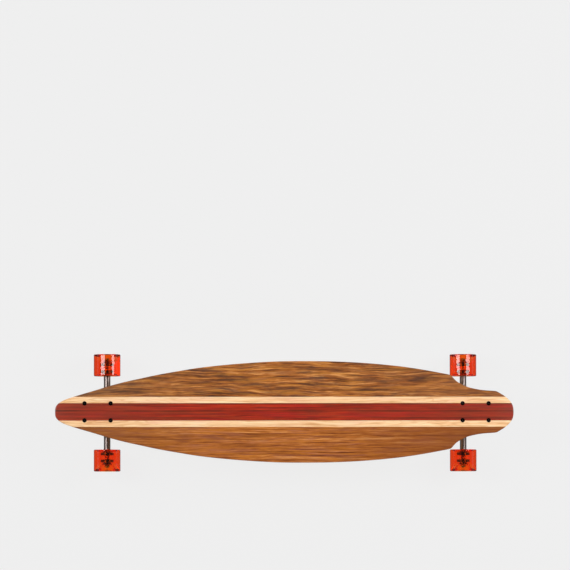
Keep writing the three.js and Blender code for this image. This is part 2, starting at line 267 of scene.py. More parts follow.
def tidy(o, dist=0.004):
    """Merges what a cut left closer than a few micrometres and leaves plain triangles."""
    bm = bmesh.new(); bm.from_mesh(o.data)
    bmesh.ops.remove_doubles(bm, verts=bm.verts[:], dist=dist * MM)
    bmesh.ops.dissolve_degenerate(bm, edges=bm.edges[:], dist=dist * MM)
    bmesh.ops.triangulate(bm, faces=bm.faces[:])
    bm.to_mesh(o.data); bm.free()


def join(objs, name):
    bm = bmesh.new()
    for o in objs:
        bm.from_mesh(o.data)
    me = bpy.data.meshes.new(name)
    bm.to_mesh(me); bm.free()
    for m in objs[0].data.materials:
        me.materials.append(m)
    for o in objs:
        bpy.data.objects.remove(o, do_unlink=True)
    o = bpy.data.objects.new(name, me)
    SC.collection.objects.link(o)
    return o


def copy_with(o, name, matrix_mm):
    """A copy with its mesh moved by a matrix given in millimetres."""
    me = o.data.copy()
    S = Matrix.Scale(MM, 4)
    me.transform(S @ matrix_mm @ S.inverted())
    c = bpy.data.objects.new(name, me)
    SC.collection.objects.link(c)
    return c


def drop(o):
    bpy.data.objects.remove(o, do_unlink=True)


# ------------------------------------------------------------------ material helpers
class Nodes:
    def __init__(self, name):
        self.m = bpy.data.materials.new(name)
        self.m.use_nodes = True
        self.t = self.m.node_tree
        self.t.nodes.clear()
        self.out = self.t.nodes.new("ShaderNodeOutputMaterial")
        self.bsdf = self.t.nodes.new("ShaderNodeBsdfPrincipled")
        self.t.links.new(self.bsdf.outputs[0], self.out.inputs["Surface"])

    def n(self, kind, **kw):
        node = self.t.nodes.new("ShaderNode" + kind)
        for k, v in kw.items():
            if k.startswith("i_"):
                self.set(node, k[2:].replace("_", " "), v)
            else:
                setattr(node, k, v)
        return node

    def set(self, node, key, v):
        s = node.inputs[int(key)] if key.isdigit() else node.inputs[key]
        if isinstance(v, bpy.types.NodeSocket):
            self.t.links.new(v, s)
        else:
            s.default_value = v

    def p(self, **kw):
        for k, v in kw.items():
            self.set(self.bsdf, k.replace("_", " "), v)

    def coords(self):
        return self.n("TexCoord").outputs["Object"]

    def mapping(self, vec, scale=(1, 1, 1), loc=(0, 0, 0), rot=(0, 0, 0)):
        m = self.n("Mapping")
        self.set(m, "Vector", vec)
        m.inputs["Scale"].default_value = scale
        m.inputs["Location"].default_value = loc
        m.inputs["Rotation"].default_value = rot
        return m.outputs[0]

    def noise(self, vec, scale=5, detail=3, rough=0.5, distortion=0.0, out=0, dims="3D"):
        k = self.n("TexNoise", noise_dimensions=dims)
        self.set(k, "Vector", vec)
        k.inputs["Scale"].default_value = scale
        k.inputs["Detail"].default_value = detail
        k.inputs["Roughness"].default_value = rough
        k.inputs["Distortion"].default_value = distortion
        return k.outputs[out]

    def ramp(self, fac, stops, interp="LINEAR"):
        r = self.n("ValToRGB")
        self.t.links.new(fac, r.inputs[0])
        cr = r.color_ramp
        cr.interpolation = interp
        while len(cr.elements) > 1:
            cr.elements.remove(cr.elements[-1])
        cr.elements[0].position = stops[0][0]
        cr.elements[0].color = col(stops[0][1])
        for pos, c in stops[1:]:
            e = cr.elements.new(pos)
            e.color = col(c)
        return r.outputs[0]

    def mix(self, fac, a, b, mode="MIX"):
        k = self.n("Mix", data_type="RGBA", blend_type=mode)
        for i, v in ((0, fac), (6, a), (7, b)):
            if isinstance(v, bpy.types.NodeSocket):
                self.t.links.new(v, k.inputs[i])
            else:
                k.inputs[i].default_value = v if i == 0 else col(v)
        return k.outputs[2]

    def math(self, op, a, b=0.0, c=0.0, clamp=False):
        k = self.n("Math", operation=op, use_clamp=clamp)
        for i, v in enumerate((a, b, c)):
            if isinstance(v, bpy.types.NodeSocket):
                self.t.links.new(v, k.inputs[i])
            else:
                k.inputs[i].default_value = v
        return k.outputs[0]

    def remap(self, v, a, b, c=0.0, d=1.0):
        k = self.n("MapRange")
        self.t.links.new(v, k.inputs[0])
        for i, x in enumerate((a, b, c, d)):
            k.inputs[i + 1].default_value = x
        return k.outputs[0]

    def bump(self, height, strength=0.2, distance=0.0005):
        b = self.n("Bump")
        b.inputs["Strength"].default_value = strength
        b.inputs["Distance"].default_value = distance
        self.t.links.new(height, b.inputs["Height"])
        self.t.links.new(b.outputs[0], self.bsdf.inputs["Normal"])
        return b.outputs[0]

    def xyz(self, vec):
        s = self.n("SeparateXYZ")
        self.t.links.new(vec, s.inputs[0])
        return s.outputs

    def comb(self, x=0.0, y=0.0, z=0.0):
        s = self.n("CombineXYZ")
        for i, v in enumerate((x, y, z)):
            if isinstance(v, bpy.types.NodeSocket):
                self.t.links.new(v, s.inputs[i])
            else:
                s.inputs[i].default_value = v
        return s.outputs[0]


def lin(v):
    v = v / 255.0
    return v / 12.92 if v <= 0.04045 else ((v + 0.055) / 1.055) ** 2.4


def col(c):
    """sRGB 0-255 triple to a linear RGBA colour; a 4-tuple passes through."""
    if len(c) == 4:
        return c
    return (lin(c[0]), lin(c[1]), lin(c[2]), 1.0)


# ------------------------------------------------------------------ materials
def wood(name, dark, mid, light, streak, bands=(4, 85), lines=(8, 300), flecks=(22, 150), wave=0.004, smoke=0.0,
         smoke_col=(78, 46, 28), line=0.5, seed=0.0, pores=0.25, tail=None, nose=None, rough=0.40, curl=0.0, coat=0.12,
         contrast=1.0, streaks=(), tints=()):
    """Wood with its grain along X: broad colour bands, growth lines, flecks, fine fibres and pores."""
    w = Nodes(name)
    c = w.coords()
    base = w.mapping(c, loc=(seed, seed * 0.37, 0))
    # slow sideways wander of the grain
    drift = w.noise(w.mapping(base, scale=(3.2, 11, 11)), 1.0, 3, 0.55)
    drift2 = w.noise(w.mapping(base, scale=(13, 40, 40)), 1.0, 2, 0.5)
    x, y, z = w.xyz(base)
    x0, y0c, z0 = w.xyz(c)
    off = w.math("ADD", w.math("MULTIPLY", w.math("SUBTRACT", drift, 0.5), wave * 4), w.math("MULTIPLY", w.math("SUBTRACT", drift2, 0.5), wave))
    yy = w.math("ADD", y, off)
    warped = w.comb(x, yy, z)
    nb = w.noise(w.mapping(warped, scale=(bands[0], bands[1], bands[1])), 1.0, 3, 0.5)
    nl = w.noise(w.mapping(warped, scale=(lines[0], lines[1], lines[1])), 1.0, 3, 0.6)
    nf = w.noise(w.mapping(warped, scale=(flecks[0], flecks[1], flecks[1])), 1.0, 3, 0.6, 0.3)
    fine = w.noise(w.mapping(warped, scale=(18, 1150, 1150)), 1.0, 2, 0.6)
    cloud = w.noise(w.mapping(warped, scale=(7, 26, 26)), 1.0, 3, 0.55)
    f = w.math("ADD", w.math("MULTIPLY", nb, 0.22), w.math("MULTIPLY", nl, 0.40))
    f = w.math("ADD", f, w.math("ADD", w.math("MULTIPLY", nf, 0.28), w.math("MULTIPLY", fine, 0.10)))
    f = w.remap(f, 0.5 - 0.16 / contrast, 0.5 + 0.16 / contrast)
    color = w.ramp(f, [(0.0, dark), (0.34, mid), (0.64, light), (1.0, streak)])
    # patches of other hues: (scale x, scale y, from, to, strength, colour)
    for i, (tx, ty, t0, t1, ts, tc) in enumerate(tints):
        tn = w.noise(w.mapping(warped, scale=(tx, ty, ty), loc=(1.7 * i + 0.3, 0.9 * i, 0)), 1.0, 3, 0.6, 0.2)
        color = w.mix(w.math("MULTIPLY", w.remap(tn, t0, t1), ts), color, tc)
    # narrow dark growth lines
    growth = w.ramp(nl, [(0.0, (255, 255, 255)), (0.37, (225, 225, 225)), (0.45, (0, 0, 0)), (1.0, (0, 0, 0))])
    color = w.mix(w.math("MULTIPLY", growth, line), color, dark)
    if smoke > 0:
        s = w.noise(w.mapping(warped, scale=(17, 150, 150)), 1.0, 4, 0.62, 0.4)
        s2 = w.math("MULTIPLY", w.remap(s, 0.47, 0.63), w.remap(cloud, 0.42, 0.58))
        color = w.mix(w.math("MULTIPLY", s2, smoke), color, smoke_col)
    if curl > 0:
        # faint cathedral figure, stronger near the two ends
        g = w.noise(w.mapping(warped, scale=(9, 90, 90)), 1.0, 2, 0.5, 0.6)
        ring = w.math("PINGPONG", w.math("MULTIPLY", g, 10.0), 1.0)
        where = w.remap(w.math("ABSOLUTE", x0), 0.15, 0.45, 0.35, 1.0)
        color = w.mix(w.math("MULTIPLY", w.math("MULTIPLY", w.remap(ring, 0.62, 1.0), where), curl), color, dark)
    # towards either end the wood changes shade
    for part, lo_x, hi_x in ((tail, -0.18, -0.50), (nose, 0.08, 0.46)):
        if part is not None:
            color = w.mix(w.math("MULTIPLY", w.remap(x0, lo_x, hi_x), part[1]), color, part[0])
    for ys, width, strength, scol in streaks:
        # one growth line at a given place, fading in and out along the board
        wander = w.math("MULTIPLY", w.math("SUBTRACT", w.noise(w.mapping(c, scale=(3.5, 0, 0), loc=(ys, 0, 0)), 1.0, 2, 0.5), 0.5), 0.005)
        dist = w.math("ABSOLUTE", w.math("SUBTRACT", w.math("ADD", y0c, wander), ys * MM))
        soft = w.remap(dist, width * MM, 0.0)
        fade = w.remap(w.noise(w.mapping(c, scale=(7, 0, 0), loc=(3 + ys, 0, 0)), 1.0, 2, 0.5), 0.34, 0.6, 0.3, 1.0)
        color = w.mix(w.math("MULTIPLY", w.math("MULTIPLY", soft, fade), strength), color, scol)
    # pores: short dark dashes
    por = w.noise(w.mapping(warped, scale=(42, 2100, 2100)), 1.0, 1, 0.5)
    pmask = w.remap(por, 0.66, 0.74)
    color = w.mix(w.math("MULTIPLY", pmask, pores), color, dark)
    w.p(Base_Color=color, Roughness=w.remap(fine, 0.3, 0.7, rough - 0.05, rough + 0.08))
    w.p(Coat_Weight=coat, Coat_Roughness=0.22, IOR=1.40)
    h = w.math("SUBTRACT", w.math("MULTIPLY", fine, 0.5), w.math("MULTIPLY", pmask, 0.7))
    w.bump(h, 0.10, 0.0003)
    return w.m


M_PANEL_L = wood("panel_left_figured", (66, 30, 6), (136, 74, 21), (176, 102, 39), (218, 150, 82), bands=(6, 110), lines=(10, 300),
                 flecks=(30, 260), wave=0.0075, smoke=0.75, smoke_col=(80, 50, 36), line=0.5, seed=3.1, pores=0.35, contrast=1.6,
                 tints=((11, 140, 0.5, 0.62, 0.45, (204, 132, 44)), (15, 190, 0.5, 0.64, 0.4, (126, 84, 62))), tail=((112, 80, 54), 0.4), nose=((112, 64, 28), 0.3))
M_PANEL_R = wood("panel_right_straight", (98, 42, 5), (154, 83, 22), (187, 108, 40), (217, 146, 80), bands=(3.5, 140), lines=(5, 310),
                 flecks=(26, 280), wave=0.0022, smoke=0.35, smoke_col=(118, 68, 50), line=0.40, seed=11.7, pores=0.3, contrast=1.6,
                 tints=((10, 130, 0.5, 0.64, 0.45, (206, 124, 34)), (16, 210, 0.5, 0.66, 0.45, (156, 92, 74))),
                 tail=((118, 64, 26), 0.66), nose=((126, 62, 14), 0.78))
M_PALE = wood("pale_maple_strip", (222, 160, 104), (246, 198, 146), (255, 212, 162), (255, 228, 184), bands=(5, 110), lines=(9, 300),
              flecks=(18, 160), wave=0.006, line=0.28, seed=5.5, pores=0.05, curl=0.6, contrast=1.4,
              tints=((8, 60, 0.5, 0.66, 0.5, (255, 204, 168)),))
M_RED = wood("padauk_stringer", (108, 20, 3), (158, 36, 5), (176, 43, 8), (196, 52, 18), bands=(3, 130), lines=(6, 420),
             flecks=(18, 260), wave=0.0012, line=0.5, seed=8.3, pores=0.3, contrast=1.7, tail=((142, 56, 34), 0.45),
             nose=((128, 46, 24), 0.42), tints=((6, 80, 0.5, 0.64, 0.5, (190, 26, 26)), (10, 120, 0.5, 0.64, 0.45, (152, 62, 22)), (16, 150, 0.48, 0.62, 0.4, (100, 32, 26))),
             streaks=((2.4, 3.2, 0.9, (84, 30, 6)), (-14.8, 2.5, 0.8, (88, 28, 6)), (20.0, 2.2, 0.8, (92, 36, 8)), (9.0, 1.9, 0.45, (106, 30, 10)),
                      (-6.0, 2.0, 0.5, (112, 22, 10))))


def ply_material():
    """Laminated maple core: plies on the edge, a clear maple veneer underneath."""
    w = Nodes("maple_ply_core")
    c = w.coords()
    x, y, z = w.xyz(c)
    drift = w.noise(w.mapping(c, scale=(3, 14, 14)), 1.0, 2, 0.5)
    wob = w.noise(w.mapping(c, scale=(9, 9, 300)), 1.0, 1, 0.5)
    yy = w.math("ADD", y, w.math("MULTIPLY", w.math("SUBTRACT", drift, 0.5), 0.006))
    warped = w.comb(x, yy, z)
    lines = w.noise(w.mapping(warped, scale=(4, 240, 4)), 1.0, 3, 0.6)
    fine = w.noise(w.mapping(warped, scale=(12, 900, 900)), 1.0, 2, 0.6)
    f = w.math("ADD", w.math("MULTIPLY", lines, 0.7), w.math("MULTIPLY", fine, 0.3))
    veneer = w.ramp(w.remap(f, 0.3, 0.7), [(0.0, (186, 138, 88)), (0.45, (214, 168, 114)), (1.0, (232, 192, 142))])
    # seven plies, 1.36 mm each; every second one is end grain and darker
    zz = w.math("ADD", w.math("MULTIPLY", w.math("SUBTRACT", z, DECK_BOTTOM * MM), 1.0 / (CORE_T / 7 * MM)), w.math("MULTIPLY", w.math("SUBTRACT", wob, 0.5), 0.12))
    layer = w.math("PINGPONG", zz, 1.0)
    soft = w.math("SMOOTH_MIN", layer, 1.0, 0.1)
    step = w.remap(w.math("FRACT", w.math("MULTIPLY", zz, 0.5)), 0.47, 0.53)
    glue = w.remap(w.math("ABSOLUTE", w.math("SUBTRACT", w.math("FRACT", zz), 0.5)), 0.44, 0.5)
    edge = w.mix(step, w.mix(fine, (196, 146, 92), (216, 170, 116)), w.mix(fine, (150, 100, 58), (176, 124, 76)))
    edge = w.mix(w.math("MULTIPLY", glue, 0.6), edge, (92, 56, 30))
    nz = w.xyz(w.n("NewGeometry").outputs["True Normal"])[2]
    side = w.remap(w.math("ABSOLUTE", nz), 0.93, 0.99, 1.0, 0.0)
    color = w.mix(side, veneer, edge)
    w.p(Base_Color=color, Roughness=0.42, Coat_Weight=0.2, Coat_Roughness=0.25)
    w.bump(w.math("ADD", w.math("MULTIPLY", fine, 0.4), w.math("MULTIPLY", w.math("MULTIPLY", step, side), 0.5)), 0.12, 0.0003)
    return w.m


M_PLY = ply_material()


def metal(name, color, rough=0.3, bright=0.12, scratch=0.15, metallic=1.0, bump=0.03, cast=0.0, coat=0.0, hollow_shade_col=None):
    w = Nodes(name)
    c = w.coords()
    big = w.noise(c, 60, 4, 0.6)
    small = w.noise(c, 900, 3, 0.6)
    dark = tuple(max(0, v * (1 - bright)) for v in color)
    light = tuple(min(255, v * (1 + bright * 0.6)) for v in color)
    cc = w.ramp(w.remap(big, 0.35, 0.65), [(0.0, dark), (1.0, light)])
    # painted shade: where the AO node finds geometry close by, in hollows and creases, the colour is mixed towards this
    # darker colour; no material here passes it
    if hollow_shade_col is not None:
        g = w.n("AmbientOcclusion", samples=8)
        g.inputs["Distance"].default_value = 0.004
        cc = w.mix(w.remap(g.outputs["AO"], 0.35, 0.85, 0.55, 0.0), cc, hollow_shade_col)
    r = w.math("ADD", w.remap(big, 0.3, 0.7, rough - 0.06, rough + 0.08), w.remap(small, 0.3, 0.7, -scratch * 0.2, scratch * 0.2))
    w.p(Base_Color=cc, Roughness=r, Metallic=metallic)
    if coat:
        w.p(Coat_Weight=coat, Coat_Roughness=0.2)
    h = w.math("ADD", w.math("MULTIPLY", small, 0.5), w.math("MULTIPLY", w.noise(c, 350, 3, 0.6), cast))
    w.bump(h, bump + cast * 0.15, 0.0002 + cast * 0.0002)
    return w.m


M_BLACK = metal("black_oxide_steel", (26, 22, 20), 0.38, 0.3, metallic=0.9)
M_ZINC = metal("zinc_plated_steel", (196, 198, 200), 0.26, 0.1)
M_STEEL = metal("turned_steel", (186, 188, 190), 0.22, 0.1)
M_HANGER = metal("polished_cast_aluminium", (126, 114, 110), 0.31, 0.08, scratch=0.1, bump=0.008, cast=0.02)
M_SPACER = metal("spacer_satin_aluminium", (206, 204, 200), 0.5, 0.1, metallic=0.8)
M_BASE = metal("cast_aluminium_base", (188, 184, 184), 0.40, 0.12, bump=0.03, cast=0.6)
M_SHIELD = metal("bearing_shield", (168, 170, 172), 0.30, 0.1)
M_DARKRING = metal("bearing_ring_steel", (96, 94, 94), 0.22, 0.1)


def plastic(name, color, rough=0.5, var=0.15, bump=0.1, scale=700, **kw):
    w = Nodes(name)
    c = w.coords()
    big = w.noise(c, 45, 4, 0.6)
    small = w.noise(c, scale, 3, 0.6)
    cc = w.ramp(w.remap(big, 0.35, 0.65), [(0.0, tuple(v * (1 - var) for v in color)), (1.0, tuple(min(255, v * (1 + var)) for v in color))])
    w.p(Base_Color=cc, Roughness=w.remap(small, 0.3, 0.7, rough - 0.06, rough + 0.08))
    for k, v in kw.items():
        w.p(**{k: v})
    w.bump(small, bump, 0.0002)
    return w.m


M_RISER = plastic("riser_rubber", (30, 30, 31), 0.75, 0.2, 0.25)
M_CUP = plastic("pivot_cup_plastic", (24, 24, 25), 0.5)
M_NYLON = plastic("locknut_nylon", (70, 92, 150), 0.45)
M_BUSH = plastic("bushing_urethane", (196, 66, 22), 0.35, 0.1, 0.08, Subsurface_Weight=0.25, Subsurface_Radius=(0.006, 0.0025, 0.001))
M_SEAL = plastic("bearing_seal_rubber", (28, 26, 26), 0.55)


def urethane():
    """Clear orange-red cast urethane: light goes in, is tinted on its way and comes out."""
    w = Nodes("wheel_urethane_clear_orange")
    c = w.coords()
    small = w.noise(c, 260, 3, 0.55)
    big = w.noise(c, 30, 3, 0.5)
    w.p(Base_Color=(1.0, 0.60, 0.14, 1.0), Roughness=w.remap(big, 0.35, 0.65, 0.05, 0.08), IOR=1.45, Transmission_Weight=1.0)
    w.bump(small, 0.006, 0.0002)
    v = w.n("VolumeAbsorption")
    v.inputs["Color"].default_value = (0.975, 0.53, 0.05, 1.0)
    v.inputs["Density"].default_value = 100.0
    w.t.links.new(v.outputs[0], w.out.inputs["Volume"])
    return w.m


M_WHEEL = urethane()

# ------------------------------------------------------------------ deck
def smooth_outline():
    """The upper half of the outline as a fine smooth curve, with the cut-outs' shoulder kept sharp."""
    pts = [Vector((x, y)) for x, y in OUTLINE]
    corner = next(i for i, p in enumerate(pts) if abs(p.x - 406) < 0.1)
    first = [Vector((pts[1].x, -pts[1].y))] + pts[:corner + 1]
    second = pts[corner:] + [Vector((pts[-2].x, -pts[-2].y))]

    def spline(p, start_extra, end_extra):
        out = []
        lo = 1 if start_extra else 0
        hi = len(p) - (2 if end_extra else 1)
        for i in range(lo, hi):
            p1, p2 = p[i], p[i + 1]
            p0 = p[i - 1] if i > 0 else p1 - (p2 - p1)
            p3 = p[i + 2] if i + 2 < len(p) else p2 + (p2 - p1)
            # centripetal Catmull-Rom
            t0 = 0.0
            t1 = t0 + max(1e-6, (p1 - p0).length ** 0.5)
            t2 = t1 + max(1e-6, (p2 - p1).length ** 0.5)
            t3 = t2 + max(1e-6, (p3 - p2).length ** 0.5)
            n = max(2, int((p2 - p1).length / 2.5))
            for k in range(n):
                t = t1 + (t2 - t1) * k / n
                a1 = p0 * ((t1 - t) / (t1 - t0)) + p1 * ((t - t0) / (t1 - t0))
                a2 = p1 * ((t2 - t) / (t2 - t1)) + p2 * ((t - t1) / (t2 - t1))
                a3 = p2 * ((t3 - t) / (t3 - t2)) + p3 * ((t - t2) / (t3 - t2))
                b1 = a1 * ((t2 - t) / (t2 - t0)) + a2 * ((t - t0) / (t2 - t0))
                b2 = a2 * ((t3 - t) / (t3 - t1)) + a3 * ((t - t1) / (t3 - t1))
                out.append(b1 * ((t2 - t) / (t2 - t1)) + b2 * ((t - t1) / (t2 - t1)))
        out.append(p[hi])
        return out

    a = spline(first, True, False)
    b = spline(second, False, True)
    # the two halves, joined at the shoulder's point
    s = a[:-1] + b
    return [(p.x, p.y) for p in s]


HALF = smooth_outline()
LOOP = ccw(HALF + [(x, -y) for x, y in reversed(HALF[1:-1])])

bolts = []
for end, cx, sg in (("rear", REAR_X, 1), ("front", FRONT_X, -1)):
    for ix, dx in (("inner", BOLT_DX * sg), ("outer", -BOLT_DX * sg)):
        for side, dy in (("left", BOLT_DY), ("right", -BOLT_DY)):
            bolts.append((f"{end}_{ix}_{side}", cx + dx, dy))


def cutters(profile, spots=bolts, n=40):
    parts = []
    for _, x, y in spots:
        parts.append(turned("cut", profile, (0, 0, 1), (x, y, 0), [], n))
    return join(parts, "cutters")


core = slab("deck_core_ply", LOOP, DECK_BOTTOM, CORE_TOP, [M_PLY], bottom=3.0, top=0.0, steps=6)
boolean(core, cutters([(0, DECK_BOTTOM - 2), (2.7, DECK_BOTTOM - 2), (2.7, CORE_TOP + 2), (0, CORE_TOP + 2)]))
shade(core, 30)
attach(core, "deck"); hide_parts("deck_core")

HEAD_R = 5.3
for nm, y0, y1, mat, sl in (("deck_center_stringer", -STRIPE_CENTER, STRIPE_CENTER, M_RED, "padauk"),
                            ("deck_pale_strip_left", STRIPE_CENTER, STRIPE_PALE, M_PALE, "pale_maple"),
                            ("deck_pale_strip_right", -STRIPE_PALE, -STRIPE_CENTER, M_PALE, "pale_maple"),
                            ("deck_side_panel_left", STRIPE_PALE, 200, M_PANEL_L, "walnut"),
                            ("deck_side_panel_right", -200, -STRIPE_PALE, M_PANEL_R, "walnut")):
    o = slab(nm + "_wood", LOOP, CORE_TOP, DECK_TOP, [mat], bottom=0.0, top=2.4, steps=6)
    bm = bmesh.new(); bm.from_mesh(o.data)
    for yc, keep_above in ((y0, True), (y1, False)):
        if abs(yc) > 150:
            continue
        geom = bm.verts[:] + bm.edges[:] + bm.faces[:]
        inset = 0.03 * MM * (1 if keep_above else -1)
        r = bmesh.ops.bisect_plane(bm, geom=geom, plane_co=(0, yc * MM + inset, 0), plane_no=(0, -1 if keep_above else 1, 0), clear_outer=True, dist=1e-7)
        edges = [e for e in r["geom_cut"] if isinstance(e, bmesh.types.BMEdge)]
        bmesh.ops.holes_fill(bm, edges=edges)
    bmesh.ops.recalc_face_normals(bm, faces=bm.faces[:])
    bm.to_mesh(o.data); bm.free()
    spots = [b for b in bolts if b[2] + HEAD_R + 1 > y0 and b[2] - HEAD_R - 1 < y1]
    if spots:
        # countersink, with a crushed rim
        boolean(o, cutters(fillet([(0, CORE_TOP - 2), (2.7, CORE_TOP - 2), (2.7, CORE_TOP + 0.2), (HEAD_R + 0.15, DECK_TOP - 0.45), (HEAD_R + 0.45, DECK_TOP + 0.3), (HEAD_R + 0.45, DECK_TOP + 3), (0, DECK_TOP + 3)]), spots))
    shade(o, 30)
    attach(o, "deck"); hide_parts(nm)

# ------------------------------------------------------------------ fasteners
def thread_profile(r, z0, z1, pitch=0.8, depth=0.32):
    """Ridged profile from z0 up to z1: the grooves of a thread, without the helix."""
    out, z = [], z0
    n = max(1, int((z1 - z0) / pitch))
    p = (z1 - z0) / n
    for i in range(n):
        a = z0 + i * p
        out += [(r - depth, a), (r, a + p * 0.42), (r, a + p * 0.58)]
    out.append((r - depth, z1))
    return out


def hex_solid(name, af, z0, z1, bore, mats, chamfer=0.7, nylon=None, n=48, flange=0.0):
    """A hexagonal nut, chamfered by turning. The nylon argument is not used."""
    R = af / math.sqrt(3)
    pts = [(R * math.cos(PI / 3 * k), R * math.sin(PI / 3 * k)) for k in range(6)]
    o = slab(name, pts, z0, z1, mats, smooth=None)
    c = turned("c", [(0, z0 - 0.01), (R - chamfer, z0 - 0.01), (R + 0.02, z0 + chamfer * 0.58), (R + 0.02, z1 - chamfer * 0.58), (R - chamfer, z1 + 0.01), (0, z1 + 0.01)], (0, 0, 1), (0, 0, 0), [], n)
    boolean(o, c, "INTERSECT")
    b = turned("b", fillet([(0, z0 - 1), (bore + 0.7, z0 - 1), (bore + 0.5, z0), (bore, z0 + 0.5), (bore, z1 - 0.5), (bore + 0.5, z1), (bore + 0.7, z1 + 1), (0, z1 + 1)]), (0, 0, 1), (0, 0, 0), [], n)
    boolean(o, b)
    return o


# countersunk bolt: cross recess, chamfered head, thread on its lower half; made about Z with its head's top at z = 0
bolt0 = turned("bolt0", fillet([(0, -31.75), (1.9, -31.75, 0.0), (2.38, -31.2)]) + thread_profile(2.38, -31.2, -13.0) + [(2.38, -12.9), (2.38, -2.9), (5.0, -0.55), (5.2, -0.35), (5.2, -0.16), (5.02, -0.05), (0, -0.02)],
               (0, 0, 1), (0, 0, 0), [M_BLACK], 40)
cr = []
for a in (0, 90):
    b = slab("cr", [(-2.6, -0.55), (2.6, -0.55), (2.6, 0.55), (-2.6, 0.55)], -2.4, 1.0, [], smooth=None)
    bm = bmesh.new(); bm.from_mesh(b.data)
    for v in bm.verts:
        if v.co.z < -1 * MM:
            v.co.x *= 0.35; v.co.y *= 0.6
    bm.to_mesh(b.data); bm.free()
    b.data.transform(Matrix.Rotation(math.radians(a + 18), 4, "Z"))
    cr.append(b)
boolean(cr[0], cr[1], "UNION")
boolean(bolt0, cr[0])
shade(bolt0, 30)

nut0 = hex_solid("nut0", 9.5, -3.9, 0, 2.15, [M_ZINC])
collar0 = turned("collar0", fillet([(2.3, -3.8), (4.3, -3.8), (4.3, -5.2, 0.5), (3.3, -5.6, 0.3), (2.2, -5.6), (2.2, -5.0), (2.3, -3.8)]), (0, 0, 1), (0, 0, 0), [M_ZINC], 40, closed=True)
nyl0 = turned("nyl0", [(2.25, -5.35), (3.35, -5.35), (3.35, -5.75), (2.25, -5.75)], (0, 0, 1), (0, 0, 0), [M_NYLON], 32, closed=True)
for i, (nm, x, y) in enumerate(bolts):
    rot = Matrix.Rotation(math.radians(37 * i + 11), 4, "Z")
    b = copy_with(bolt0, "bolt_" + nm + "_fine", Matrix.Translation((x, y, DECK_TOP)) @ rot)
    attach(b, "deck"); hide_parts("bolt_" + nm)
    T = Matrix.Translation((x, y, PLATE_TOP - PLATE_T)) @ Matrix.Rotation(math.radians(23 * i), 4, "Z")
    n1 = copy_with(nut0, "locknut_" + nm + "_fine", T); shade(n1, 30)
    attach(n1, "deck"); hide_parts("locknut_" + nm)
    n2 = copy_with(collar0, "locknut_" + nm + "_collar", T); shade(n2, 30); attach(n2, "deck")
for o in (bolt0, nut0, collar0, nyl0):
    drop(o)

# ------------------------------------------------------------------ trucks, in their own frame
def at(t, s, y=0.0):
    return PIVOT + AX * t + KX * s + Vector((0, y, 0))


def xz(t, s):
    p = at(t, s)
    return (p.x, p.z)


def rounded_rect(l, w, r, n=8):
    pts = []
    for cx, cy, a0 in ((l / 2 - r, w / 2 - r, 0), (-l / 2 + r, w / 2 - r, 90), (-l / 2 + r, -w / 2 + r, 180), (l / 2 - r, -w / 2 + r, 270)):
        for i in range(n + 1):
            a = math.radians(a0 + 90 * i / n)
            pts.append((cx + r * math.cos(a), cy + r * math.sin(a)))
    return pts


def remesh(o, voxel, smooth_iter=6, factor=0.5):
    m = o.modifiers.new("r", "REMESH")
    m.mode, m.voxel_size, m.use_smooth_shade = "VOXEL", voxel * MM, True
    apply_mods(o)
    bm = bmesh.new(); bm.from_mesh(o.data)
    for _ in range(smooth_iter):
        bmesh.ops.smooth_vert(bm, verts=bm.verts[:], factor=factor, use_axis_x=True, use_axis_y=True, use_axis_z=True)
    bm.to_mesh(o.data); bm.free()


def set_material(o, m):
    o.data.materials.clear()
    o.data.materials.append(m)
    for p in o.data.polygons:
        p.material_index = 0


VOX = 0.7


